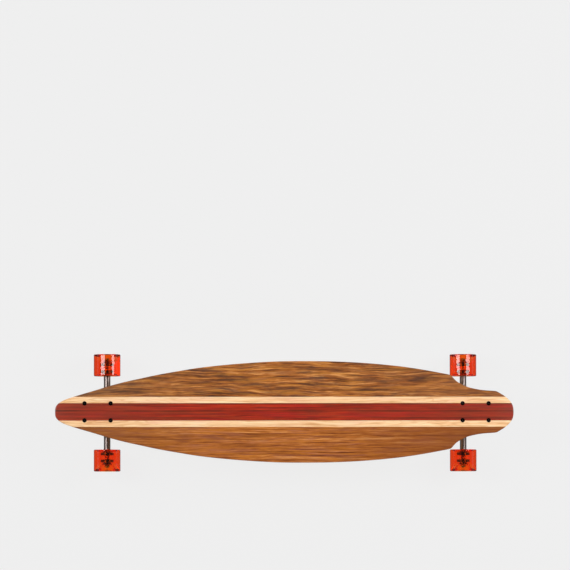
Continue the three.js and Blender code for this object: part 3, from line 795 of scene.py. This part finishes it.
def make_hanger():
    web_plan = fillet([(RING_T + 8, 14.0), (RING_T, 17.2), (RING_T - 14, 18.5), (28, 24, 6), (20.5, 44, 10), (19, 62), (12.5, 62), (10, 34, 10), (6.4, 13, 4),
                       (6.4, -13, 4), (10, -34, 10), (12.5, -62), (19, -62), (20.5, -44, 10), (28, -24, 6), (RING_T - 14, -18.5), (RING_T, -17.2), (RING_T + 8, -14.0)], closed=True)
    frame_m = Matrix(((AX.x, 0, -AX.z, PIVOT.x), (0, 1, 0, 0), (AX.z, 0, AX.x, PIVOT.z), (0, 0, 0, 1)))  # t, y, -s
    parts = []
    web = slab("web", web_plan, -4.4, 4.8, [], matrix=frame_m, smooth=None); parts.append(web)
    yoke = side_slab("yoke", fillet([xz(7.2, -4), xz(25, -4), xz(28, 3), (*xz(25, 12), 4), (*xz(16.5, 20.5), 6), (*xz(8, 16), 4), xz(6.6, 5)], closed=True), 17, []); parts.append(yoke)
    # two cheeks that run from the ring down to the barrel
    for sg in (1, -1):
        ck = side_slab("cheek", [xz(RING_T - 8, -4), xz(RING_T - 8, 5), xz(26, 13), xz(14, 20), xz(9, 14), xz(8, -3)], 2.6, [])
        ck.data.transform(Matrix.Translation((0, sg * 15.5 * MM, 0)))
        parts.append(ck)
    prof = [(0, -HANGER_HALF)] + fillet([(9.6, -HANGER_HALF, 0.6), (9.6, -HANGER_HALF + 3, 1.0), (ARM_R, -HANGER_HALF + 6, 2.0), (ARM_R, -62, 10), (10.2, -26, 20), (10.2, 26, 20), (ARM_R, 62, 10), (ARM_R, HANGER_HALF - 6, 2.0), (9.6, HANGER_HALF - 3, 1.0), (9.6, HANGER_HALF, 0.6)], n=6) + [(0, HANGER_HALF)]
    prof[1] = (9.6, -HANGER_HALF); prof[-2] = (9.6, HANGER_HALF)
    parts.append(turned("arms", prof, (0, 1, 0), AXLE, [], 72, smooth=None))
    parts.append(turned("ring", [(0, -RING_HALF), (RING_R - 0.8, -RING_HALF), (RING_R, -RING_HALF + 0.8), (RING_R, RING_HALF - 0.8), (RING_R - 0.8, RING_HALF), (0, RING_HALF)], KX, at(RING_T, 0), [], 72, smooth=None))
    parts.append(turned("pin", [(0, -4.4), (3.4, -4.4), (6.2, -2), (6.5, 0), (6.5, 5), (7.0, 9), (0, 9)], AX, at(0, 0), [], 48, smooth=None))
    parts.append(turned("boss", [(0, 2.5), (8.2, 4.4), (11, 8.5), (11, 14), (0, 14)], AX, at(0, 0), [], 48, smooth=None))
    o = parts[0]
    for p in parts[1:]:
        boolean(o, p, "UNION")
    remesh(o, VOX, 7)
    # true up the turned surfaces that the smoothing pulled in
    bm = bmesh.new(); bm.from_mesh(o.data)
    ax = AXLE * MM
    for v in bm.verts:
        y = v.co.y / MM
        if abs(y) > 60:
            d = Vector((v.co.x - ax.x, 0, v.co.z - ax.z))
            if d.length > 6.0 * MM:
                d.normalize()
                r = 8.0
                if abs(y) > HANGER_HALF - 6:
                    k = min(1, max(0, (abs(y) - (HANGER_HALF - 6)) / 3))
                    r = 8.0 + 1.6 * (k * k * (3 - 2 * k))
                if abs(y) > HANGER_HALF - 0.8:
                    r -= 0.5 * ((abs(y) - (HANGER_HALF - 0.8)) / 0.8)
                w = min(1, (abs(y) - 60) / 6)
                r0 = math.hypot(v.co.x - ax.x, v.co.z - ax.z) / MM
                rr = r0 + (r - r0) * w
                v.co.x, v.co.z = ax.x + d.x * rr * MM, ax.z + d.z * rr * MM
            if abs(y) > HANGER_HALF - 0.9:
                v.co.y = math.copysign(HANGER_HALF * MM, y) if math.hypot(v.co.x - ax.x, v.co.z - ax.z) < 9.2 * MM else v.co.y
    bm.to_mesh(o.data); bm.free()
    # ring bore and its machined seats, axle bore
    for prof2, d, p, n in (([(0, -30), (RING_BORE, -30), (RING_BORE, 30), (0, 30)], KX, at(RING_T, 0), 64),
                           ([(0, -30), (15.2, -30), (15.2, -RING_HALF + 0.5), (0, -RING_HALF + 0.5)], KX, at(RING_T, 0), 64),
                           ([(0, RING_HALF - 0.5), (15.2, RING_HALF - 0.5), (15.2, 13), (0, 13)], KX, at(RING_T, 0), 64),
                           ([(0, -140), (AXLE_R + 0.05, -140), (AXLE_R + 0.05, 140), (0, 140)], (0, 1, 0), AXLE, 48)):
        boolean(o, turned("c", prof2, d, p, [], n, smooth=None))
    tidy(o)
    set_material(o, M_HANGER)
    shade(o, 42)
    o.name = "hanger0"
    return o


def make_baseplate():
    parts = [slab("plate", rounded_rect(PLATE_L, PLATE_W, 11), -PLATE_T, 0, [], smooth=None)]
    prof = fillet([(4, -PLATE_T + 1.5), (-4, -PLATE_T), (*xz(RING_T + 18, SEAT), 2), (*xz(RING_T - 17.5, SEAT), 1), (*xz(RING_T - 21, -15.2), 3),
                   (*xz(2, -14.8), 2), (*xz(2, 12.2), 2), (*xz(-5, 12.2), 4), (*xz(-11.3, 5), 5), (*xz(-11.3, -8), 6), (-60.7, -66, 6), (-56.4, -34, 20), (-53.2, -PLATE_T), (-53.0, -PLATE_T + 1.5)], closed=True)
    parts.append(side_slab("ramp", prof, 13.9, []))
    for sg in (1, -1):
        parts.append(side_slab("rail", [(34, -PLATE_T + 1), (24, -PLATE_T - 3.2), (-6, -PLATE_T - 3.2), (-10, -PLATE_T + 1)], 2.6, [], matrix=Matrix.Translation((0, sg * 9, 0))))
    # seat boss round the kingpin
    parts.append(turned("seat", [(0, SEAT - 8), (14.2, SEAT - 8), (14.2, SEAT - 0.0), (0, SEAT)], KX, at(RING_T, 0), [], 64, smooth=None))
    o = parts[0]
    for p in parts[1:]:
        boolean(o, p, "UNION")
    # lightening pockets on the tower's sides
    for sg in (1, -1):
        pk = side_slab("pk", fillet([(-52.3, -32, 3), (-44.5, -33, 3), (-44.0, -46, 3), (-54.6, -61, 2), (-56.6, -58, 2)], closed=True, n=6), 3.0, [], matrix=Matrix.Translation((0, sg * 14.6, 0)))
        boolean(o, pk)
    remesh(o, VOX, 5)
    # keep the top dead flat and inside the casting's outline
    bm = bmesh.new(); bm.from_mesh(o.data)
    for v in bm.verts:
        if v.co.z > -1.2 * MM:
            k = (v.co.z / MM + 1.2) / 1.2
            if k > 0.35:
                v.co.z = 0.0 if k > 0.6 else v.co.z
    bm.to_mesh(o.data); bm.free()
    for x in (-BOLT_DX, BOLT_DX):
        for y in (-BOLT_DY, BOLT_DY):
            boolean(o, turned("h", [(0, -30), (2.85, -30), (2.85, 5), (0, 5)], (0, 0, 1), (x, y, 0), [], 32, smooth=None))
            boolean(o, turned("h", [(0, -30), (7.2, -30), (7.2, -PLATE_T), (0, -PLATE_T)], (0, 0, 1), (x, y, 0), [], 40, smooth=None))
    boolean(o, turned("k", [(0, SEAT - 40), (KINGPIN_R + 0.35, SEAT - 40), (KINGPIN_R + 0.35, SEAT + 9), (0, SEAT + 9)], KX, at(RING_T, 0), [], 48, smooth=None))
    boolean(o, turned("k", [(0, -90), (9.6, -90), (9.6, -34), (0, -34)], KX, at(RING_T, 0), [], 48, smooth=None))
    boolean(o, turned("k", [(0, -8.1), (5.8, -8.1), (9.7, -4.4), (9.7, 6), (0, 6)], AX, at(0, 0), [], 56, smooth=None))
    boolean(o, turned("k", [(0, SEAT + 0.06), (14.43, SEAT + 0.06), (14.43, SEAT + 12), (0, SEAT + 12)], KX, at(RING_T, 0), [], 60, smooth=None))
    tidy(o)
    set_material(o, M_BASE)
    shade(o, 42)
    o.name = "baseplate0"
    return o


hanger0 = make_hanger()
base0 = make_baseplate()

riser0 = slab("riser0", rounded_rect(PLATE_L + 2, PLATE_W + 2, 9), 0, RISER_T, [M_RISER], bottom=0.6, top=0.3, steps=3)
hc = []
for x in (-BOLT_DX, BOLT_DX):
    for y in (-BOLT_DY, BOLT_DY):
        hc.append(turned("h", [(0, -2), (2.85, -2), (2.85, 5), (0, 5)], (0, 0, 1), (x, y, 0), [], 32, smooth=None))
boolean(riser0, join(hc, "hc"))
shade(riser0, 30)

C = at(RING_T, 0)
cup0 = turned("cup0", fillet([(0, -8), (5.8, -8, 1.0), (9.5, -4.4, 1.5), (9.5, 1.0), (9.9, 1.2), (9.9, 2.3, 0.4), (7.3, 2.3, 0.6), (7.1, -5, 1), (5, -6.4, 1), (0, -6.4)]), AX, at(0, 0), [M_CUP], 56)
king_prof = fillet([(0, -41.5), (8.0, -41.5, 0.6), (8.6, -40.9), (8.6, -34.4, 0.2), (KINGPIN_R, -34.3, 0.4)]) + [(KINGPIN_R, 8)] + thread_profile(KINGPIN_R, 8.5, 31.0, 1.06, 0.45) + [(3.9, 31.5), (0, 31.5)]
king0 = turned("king0", king_prof, KX, C, [M_STEEL], 48)
shade(king0, 30)
# hexagon socket in the kingpin's head
hx = slab("hx", [(3.7 * math.cos(PI / 3 * k), 3.7 * math.sin(PI / 3 * k)) for k in range(6)], -44, -37.5, [], smooth=None, matrix=along(KX, C))
boolean(king0, hx)
shade(king0, 30)
knut0 = hex_solid("knut0", 14.3, 21.1, 27.0, KINGPIN_R - 0.25, [M_ZINC], chamfer=1.0)
knut0.data.transform(Matrix.Scale(MM, 4) @ along(KX, C) @ Matrix.Scale(1 / MM, 4)); shade(knut0, 30)
kcol0 = turned("kcol0", fillet([(KINGPIN_R + 0.1, 26.9), (6.7, 26.9), (6.7, 28.4, 0.7), (5.6, 28.9, 0.3), (KINGPIN_R + 0.1, 28.9)], closed=True), KX, C, [M_ZINC], 48, closed=True)
washer_a = fillet([(5.2, SEAT + 0.3), (13.2, SEAT + 0.3, 0.5), (14.0, SEAT + 1.2), (14.0, SEAT + 3.6, 0.3), (13.3, SEAT + 3.6, 0.3), (13.1, SEAT + 1.7, 0.5), (5.2, SEAT + 1.7)], closed=True)
washer_b = fillet([(5.2, 20.8), (12.6, 20.8, 0.5), (13.8, 19.9), (13.8, 17.0, 0.3), (13.1, 17.0, 0.3), (12.6, 19.4, 0.5), (5.2, 19.4)], closed=True)
was0 = turned("was0", washer_a, KX, C, [M_ZINC], 72, closed=True)
was1 = turned("was1", washer_b, KX, C, [M_ZINC], 72, closed=True)
bush0 = turned("bush0", fillet([(5.3, SEAT + 1.8), (12.8, SEAT + 1.8, 0.8), (13.0, SEAT + 5, 3), (13.5, -11.0, 5), (13.2, -6.5, 2), (12.4, -RING_HALF + 0.3, 0.8), (5.3, -RING_HALF + 0.3)], closed=True, n=6), KX, C, [M_BUSH], 72, closed=True)
bush1 = turned("bush1", fillet([(5.3, RING_HALF - 0.3), (12.9, RING_HALF - 0.3, 0.8), (13.0, 8, 2), (12.0, 15.5, 3), (11.8, 19.2, 0.8), (5.3, 19.2)], closed=True, n=6), KX, C, [M_BUSH], 72, closed=True)
axle_prof = [(0, -AXLE_HALF), (3.0, -AXLE_HALF), (3.55, -AXLE_HALF + 0.5)] + thread_profile(AXLE_R, -AXLE_HALF + 0.5, -118, 1.25, 0.5) + [(AXLE_R, -117.5), (AXLE_R, 117.5)] + thread_profile(AXLE_R, 118, AXLE_HALF - 0.5, 1.25, 0.5) + [(3.0, AXLE_HALF), (0, AXLE_HALF)]
axle0 = turned("axle0", axle_prof, (0, 1, 0), AXLE, [M_STEEL], 48)

# ------------------------------------------------------------------ wheel set, made about Z with +Z outboard; z = distance from the board's centreline
Y_IN, Y_OUT = WHEEL_Y - WHEEL_W / 2, WHEEL_Y + WHEEL_W / 2
B0 = HANGER_HALF + 1.2
B1 = B0 + BEARING_W + SPACER_L
SEAT_R = 10.93                  # the rings are pressed in, so there is no air between them and the urethane
wheel_prof = fillet([
    (8.0, B0 + BEARING_W), (8.0, B1), (SEAT_R, B1), (SEAT_R, B1 + BEARING_W + 0.6, 0.4), (13.4, B1 + BEARING_W + 1.2, 1.5), (19.8, Y_OUT - 6.0, 5.0), (23.6, Y_OUT, 1.6), (WHEEL_R - 1.2, Y_OUT, 1.2), (WHEEL_R, Y_OUT - 1.6, 1.2), (WHEEL_R, Y_OUT - 2.5), (WHEEL_R, Y_OUT - 3.4),
    (WHEEL_R, Y_IN + 3.4), (WHEEL_R, Y_IN + 2.5), (WHEEL_R, Y_IN + 1.6, 1.2), (WHEEL_R - 1.2, Y_IN, 1.2), (21.4, Y_IN, 1.4), (17.5, Y_IN + 4.6, 3.0), (13.2, B0 - 0.9, 1.5), (SEAT_R, B0 - 0.4, 0.4), (SEAT_R, B0 + BEARING_W)], closed=True, n=6)
wheel0 = turned("wheel0", wheel_prof, (0, 0, 1), (0, 0, 0), [M_WHEEL], 128, closed=True, smooth=40)


def bearing(name, z0, flip=False):
    W = BEARING_W
    def zz(h):
        return z0 + (W - h if flip else h)
    outer = turned(name + "_outer", fillet([(9.3, zz(0.5)), (9.3, zz(0.05)), (10.6, zz(0), 0.0), (11.0, zz(0.4)), (11.0, zz(W - 0.4)), (10.6, zz(W)), (9.3, zz(W - 0.05)), (9.3, zz(W - 0.5)), (8.9, zz(W - 0.9)), (8.9, zz(0.9))], closed=True), (0, 0, 1), (0, 0, 0), [M_DARKRING], 72, closed=True)
    inner = turned(name + "_inner", fillet([(4.05, zz(0.3)), (4.35, zz(0)), (5.6, zz(0)), (5.9, zz(0.4)), (5.9, zz(W - 0.4)), (5.6, zz(W)), (4.35, zz(W)), (4.05, zz(W - 0.3))], closed=True), (0, 0, 1), (0, 0, 0), [M_DARKRING], 72, closed=True)
    shield = turned(name + "_shield", fillet([(6.15, zz(0.55)), (6.5, zz(0.30), 0.1), (7.2, zz(0.42), 0.2), (8.9, zz(0.34), 0.1), (9.25, zz(0.6)), (9.25, zz(W - 0.6)), (8.9, zz(W - 0.34), 0.1), (7.2, zz(W - 0.42), 0.2), (6.5, zz(W - 0.30), 0.1), (6.15, zz(W - 0.55))], closed=True), (0, 0, 1), (0, 0, 0), [M_SEAL], 72, closed=True)
    return outer, inner, shield


br_in = bearing("bin", B0)
br_out = bearing("bout", B1)
spacer0 = turned("spacer0", fillet([(4.1, B0 + BEARING_W + 0.05), (5.5, B0 + BEARING_W + 0.05), (5.5, B1 - 0.05), (4.1, B1 - 0.05)], closed=True), (0, 0, 1), (0, 0, 0), [M_SPACER], 48, closed=True)


def washer(name, z0, z1):
    return turned(name, fillet([(4.1, z0), (5.9, z0, 0.15), (5.9, z1, 0.15), (4.1, z1)], closed=True, n=2), (0, 0, 1), (0, 0, 0), [M_ZINC], 48, closed=True)


sw_in = washer("sw_in", HANGER_HALF + 0.05, B0 - 0.05)
sw_out = washer("sw_out", B1 + BEARING_W + 0.05, B1 + BEARING_W + 0.95)
N0 = B1 + BEARING_W + 1
anut0 = hex_solid("anut0", 13, N0, N0 + 5.0, AXLE_R - 0.2, [M_ZINC], chamfer=0.9)
acol0 = turned("acol0", fillet([(AXLE_R + 0.1, N0 + 4.9), (6.0, N0 + 4.9), (6.0, N0 + 6.1, 0.6), (5.0, N0 + 6.5, 0.3), (AXLE_R + 0.1, N0 + 6.5)], closed=True), (0, 0, 1), (0, 0, 0), [M_ZINC], 48, closed=True)
shade(anut0, 30)

for end, cx, spin in (("front", FRONT_X, 0.0), ("rear", REAR_X, PI)):
    T = Matrix.Translation((cx, 0, PLATE_TOP)) @ Matrix.Rotation(spin, 4, "Z")
    body = end + "_truck"

    def put(o, node, b, name=None):
        c = copy_with(o, name or (end + "_" + node + "_fine"), T)
        if node:
            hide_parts(end + "_" + node)
        if b:
            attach(c, b)
        return c

    put(riser0, "riser", "deck")
    put(base0, "baseplate", "deck")
    put(cup0, "pivot_cup", "deck")
    put(king0, "kingpin", "deck")
    put(knut0, "kingpin_nut", "deck")
    c = put(kcol0, "", "deck", end + "_kingpin_nut_collar")
    put(was0, "bushing_washer_boardside", "deck")
    put(was1, "bushing_washer_roadside", "deck")
    for ob, node, s0, s1 in ((bush0, "bushing_boardside", SEAT + 3.0, -RING_HALF), (bush1, "bushing_roadside", 18.0, RING_HALF)):
        b = put(ob, node, None)
        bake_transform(b)
    put(hanger0, "hanger", body)
    put(axle0, "axle", body)
    for side, sg in (("left", 1), ("right", -1)):
        ax_world = T @ AXLE
        W = Matrix.Translation((ax_world.x, 0, ax_world.z)) @ along((0, sg, 0), (0, 0, 0))
        wb = f"{end}_wheel_{side}"

        def wput(o, name, b, node=None):
            c = copy_with(o, name, W)
            if node:
                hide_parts(node)
            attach(c, b)
            return c

        wput(wheel0, wb + "_urethane", wb, wb)
        for which, trio in (("inner", br_in), ("outer", br_out)):
            node = f"{end}_bearing_{side}_{which}"
            wput(trio[0], node + "_outer_ring", wb, node)
            wput(trio[2], node + "_shields", wb)
            wput(trio[1], node + "_inner_ring", wb)
        wput(spacer0, f"{end}_bearing_spacer_{side}", body)
        wput(sw_in, f"{end}_speed_washer_{side}_inner", body)
        wput(sw_out, f"{end}_speed_washer_{side}_outer", body)
        wput(anut0, f"{end}_axle_nut_{side}_fine", body, f"{end}_axle_nut_{side}")
        wput(acol0, f"{end}_axle_nut_{side}_collar", body)

for o in (hanger0, base0, riser0, cup0, king0, knut0, kcol0, was0, was1, bush0, bush1, axle0, wheel0, *br_in, *br_out, spacer0, sw_in, sw_out, anut0, acol0):
    drop(o)

# ------------------------------------------------------------------ floor, light, camera
def floor_material():
    w = Nodes("pale_floor")
    c = w.coords()
    n = w.noise(c, 3, 3, 0.5)
    cc = w.mix(n, (236, 236, 236), (240, 240, 240))
    w.p(Base_Color=cc, Roughness=0.9)
    e = w.n("Emission")
    e.inputs["Color"].default_value = (0.862, 0.862, 0.862, 1)
    e.inputs["Strength"].default_value = 1.0
    mx = w.n("MixShader")
    mx.inputs[0].default_value = 0.95
    w.t.links.new(w.bsdf.outputs[0], mx.inputs[1])
    w.t.links.new(e.outputs[0], mx.inputs[2])
    tr = w.n("BsdfTransparent")
    back = w.n("NewGeometry").outputs["Backfacing"]
    m2 = w.n("MixShader")
    w.t.links.new(back, m2.inputs[0])
    w.t.links.new(mx.outputs[0], m2.inputs[1])
    w.t.links.new(tr.outputs[0], m2.inputs[2])
    w.t.links.new(m2.outputs[0], w.out.inputs["Surface"])
    return w.m


# low enough that a wheel clears it when its truck is turned to the limit under a level deck
floor = new_obj("floor", [(-8, -8, -0.031), (8, -8, -0.031), (8, 8, -0.031), (-8, 8, -0.031)], [(0, 1, 2, 3)], [floor_material()], None, scale=1)
if floor.data.polygons[0].normal.z < 0:
    floor.data.flip_normals()
floor.visible_glossy = False      # the studio below is dark to polished metal and urethane

world = bpy.data.worlds.new("studio")
SC.world = world
world.use_nodes = True
wt = world.node_tree
wt.nodes.clear()
w_out, w_bg = wt.nodes.new("ShaderNodeOutputWorld"), wt.nodes.new("ShaderNodeBackground")
w_co, w_sep, w_ramp = wt.nodes.new("ShaderNodeTexCoord"), wt.nodes.new("ShaderNodeSeparateXYZ"), wt.nodes.new("ShaderNodeValToRGB")
wt.links.new(w_co.outputs["Generated"], w_sep.inputs[0])
w_half = wt.nodes.new("ShaderNodeMapRange")
w_half.inputs[1].default_value, w_half.inputs[2].default_value = -1.0, 1.0
wt.links.new(w_sep.outputs[2], w_half.inputs[0])
wt.links.new(w_half.outputs[0], w_ramp.inputs[0])
wt.links.new(w_ramp.outputs[0], w_bg.inputs["Color"])
wt.links.new(w_bg.outputs[0], w_out.inputs["Surface"])
w_ramp.color_ramp.elements[0].position, w_ramp.color_ramp.elements[0].color = 0.0, (0.10, 0.10, 0.10, 1)
w_ramp.color_ramp.elements[1].position, w_ramp.color_ramp.elements[1].color = 1.0, (0.09, 0.09, 0.09, 1)
for pos, v in ((0.42, 0.16), (0.46, 0.84), (0.53, 0.84), (0.60, 0.26)):
    e = w_ramp.color_ramp.elements.new(pos)
    e.color = (v, v, v, 1)
w_bg.inputs["Strength"].default_value = 1.0


def softbox(name, loc, target, sx, sy, power, colour=(1, 1, 1)):
    l = bpy.data.lights.new(name, "AREA")
    l.shape, l.size, l.size_y, l.energy, l.color = "RECTANGLE", sx, sy, power, colour
    o = bpy.data.objects.new(name, l)
    o.location = loc
    z = (Vector(loc) - Vector(target)).normalized()
    x = Vector((0, 1, 0)).cross(z)
    x = Vector((1, 0, 0)) if abs(loc[0]) < 1e-6 else x.normalized()
    y = z.cross(x)
    o.matrix_world = Matrix((( x.x, y.x, z.x, loc[0]), (x.y, y.y, z.y, loc[1]), (x.z, y.z, z.z, loc[2]), (0, 0, 0, 1)))
    o.visible_camera = False
    SC.collection.objects.link(o)
    return o


softbox("strip_left_end", (-2.68, 0.665, 2.9), (0, 0.665, 0), 2.2, 1.06, 82)
softbox("strip_right_end", (1.95, 0.63, 1.9), (0, 0.63, 0), 1.3, 1.06, 40)
softbox("fill_left", (0.0, 3.0, 2.8), (0, 0, 0), 3.0, 1.4, 20)
softbox("fill_right", (0.0, -3.0, 2.8), (0, 0, 0), 3.0, 1.4, 22)

cam = bpy.data.cameras.new("camera")
cam.sensor_width = 36.0
cam_o = bpy.data.objects.new("camera", cam)
SC.collection.objects.link(cam_o)
CP, CT = Vector((-0.625, -0.44, 15.12)), Vector((0.0012, 0.3092, 0.121))
z = (CP - CT).normalized()
x = Vector((0, 1, 0)).cross(z).normalized()
y = z.cross(x)
ROLL = 0.0017
x, y = x * math.cos(ROLL) - y * math.sin(ROLL), x * math.sin(ROLL) + y * math.cos(ROLL)
cam_o.matrix_world = Matrix(((x.x, y.x, z.x, CP.x), (x.y, y.y, z.y, CP.y), (x.z, y.z, z.z, CP.z), (0, 0, 0, 1)))
cam.lens = 36.0 * (CP - CT).length / 1.3894
cam.clip_start, cam.clip_end = 0.1, 100
SC.camera = cam_o
SC.view_settings.view_transform = "Standard"
SC.view_settings.look = "None"
